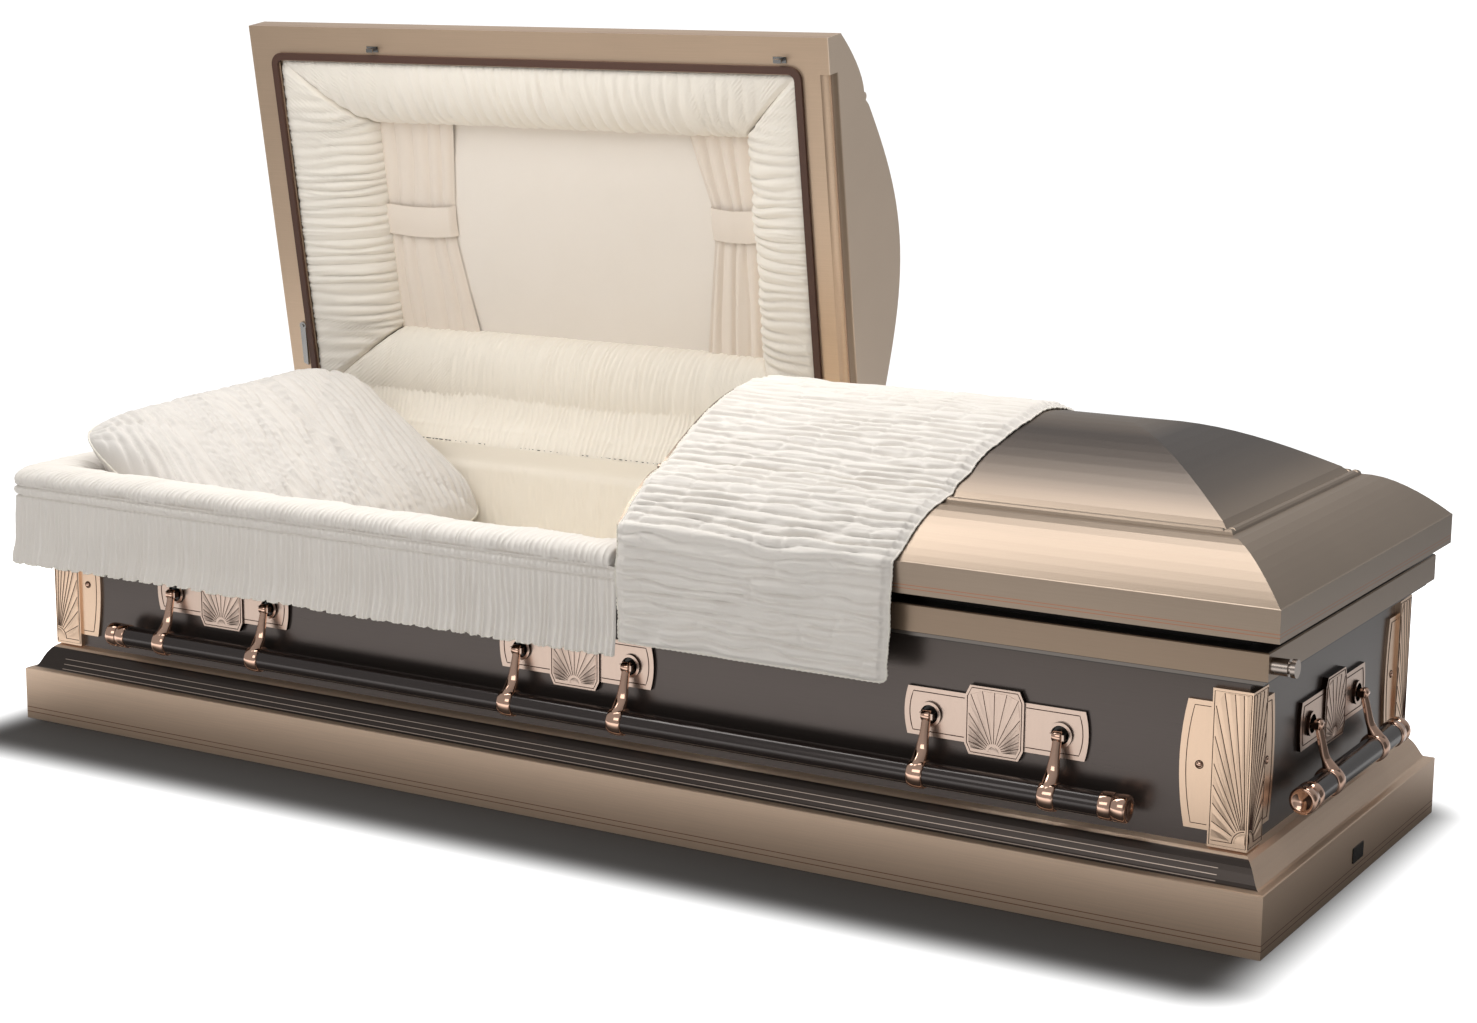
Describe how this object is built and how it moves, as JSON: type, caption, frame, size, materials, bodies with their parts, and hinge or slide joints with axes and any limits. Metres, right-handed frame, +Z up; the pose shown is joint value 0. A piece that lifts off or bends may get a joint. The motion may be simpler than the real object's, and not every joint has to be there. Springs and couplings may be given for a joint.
{
  "type": "funeral casket",
  "caption": "Half-couch steel funeral casket with a hinged head lid standing open, a closed foot lid, swing-bar handles and a crepe cloth interior.",
  "frame": {"origin": "centre of the casket's flat underside, on the floor", "axes": "+X along the casket from the head end to the foot end, -Y the front, +Y the hinge side, +Z up"},
  "size_m": [2.165, 0.8719, 1.1244],
  "materials": {
    "champagne_metal": "brushed metallic lacquer, satin",
    "graphite_metal": "brushed metallic lacquer, satin",
    "rose_gold": "copper plated, satin plates and polished arms",
    "bar_brown": "dark bronze gloss",
    "steel": "plated",
    "gasket_rubber": "matt",
    "dark_plate": "bare dark plate, satin",
    "ivory_crepe": "shirred crepe",
    "cream_lining": "shirred crepe"
  },
  "bodies": {
    "root": {"base_moulding": "champagne_metal", "body_shell": "graphite_metal", "top_moulding": "champagne_metal", "plaque": "dark_plate", "lock_plug": "rose_gold", "post_front_head": "rose_gold", "post_front_foot": "rose_gold", "post_back_head": "rose_gold", "post_back_foot": "rose_gold", "plate_front_head": "rose_gold", "plate_front_middle": "rose_gold", "plate_front_foot": "rose_gold", "plate_back_head": "rose_gold", "plate_back_middle": "rose_gold", "plate_back_foot": "rose_gold", "plate_head_end": "rose_gold", "plate_foot_end": "rose_gold", "hinge_head": "steel", "hinge_foot": "steel", "mattress": "cream_lining", "pillow": "ivory_crepe", "body_lining": "cream_lining", "apron_skirt": "ivory_crepe", "apron_roll": "ivory_crepe"},
    "head_lid": {"head_lid": "champagne_metal", "head_gasket": "gasket_rubber", "cap_panel": "cream_lining", "cap_roll_front": "cream_lining", "cap_roll_hinge": "cream_lining", "cap_roll_head": "cream_lining", "cap_roll_split": "cream_lining", "latch_head": "steel", "latch_split": "steel", "lid_stay": "steel"},
    "foot_lid": {"foot_lid": "champagne_metal", "foot_gasket": "gasket_rubber", "foot_cap_lining": "cream_lining", "throw": "ivory_crepe"},
    "handle_front": {"bar_front": "bar_brown", "arm_front_1": "rose_gold", "arm_front_2": "rose_gold", "arm_front_3": "rose_gold", "arm_front_4": "rose_gold", "arm_front_5": "rose_gold", "arm_front_6": "rose_gold"},
    "handle_back": {"bar_back": "bar_brown", "arm_back_1": "rose_gold", "arm_back_2": "rose_gold", "arm_back_3": "rose_gold", "arm_back_4": "rose_gold", "arm_back_5": "rose_gold", "arm_back_6": "rose_gold"},
    "handle_head_end": {"bar_head_end": "bar_brown", "arm_head_end_1": "rose_gold", "arm_head_end_2": "rose_gold"},
    "handle_foot_end": {"bar_foot_end": "bar_brown", "arm_foot_end_1": "rose_gold", "arm_foot_end_2": "rose_gold"}
  },
  "joints": [
    {"name": "head_lid_hinge", "type": "hinge", "parent": "root", "child": "head_lid", "pos_m": [-0.488, 0.352, 0.412], "axis": [-1, 0, 0], "range_deg": [-80.8, 0], "deforming": ["pillow", "apron_roll"]},
    {"name": "foot_lid_hinge", "type": "hinge", "parent": "root", "child": "foot_lid", "pos_m": [0.5835, 0.352, 0.412], "axis": [-1, 0, 0], "range_deg": [0, 80.8]},
    {"name": "handle_front_swing", "type": "hinge", "parent": "root", "child": "handle_front", "pos_m": [0, -0.336, 0.24], "axis": [-1, 0, 0], "range_deg": [0, 75]},
    {"name": "handle_back_swing", "type": "hinge", "parent": "root", "child": "handle_back", "pos_m": [0, 0.336, 0.24], "axis": [1, 0, 0], "range_deg": [0, 75]},
    {"name": "handle_head_end_swing", "type": "hinge", "parent": "root", "child": "handle_head_end", "pos_m": [-1.036, 0, 0.24], "axis": [0, 1, 0], "range_deg": [0, 75]},
    {"name": "handle_foot_end_swing", "type": "hinge", "parent": "root", "child": "handle_foot_end", "pos_m": [1.036, 0, 0.24], "axis": [0, -1, 0], "range_deg": [0, 75]}
  ]
}
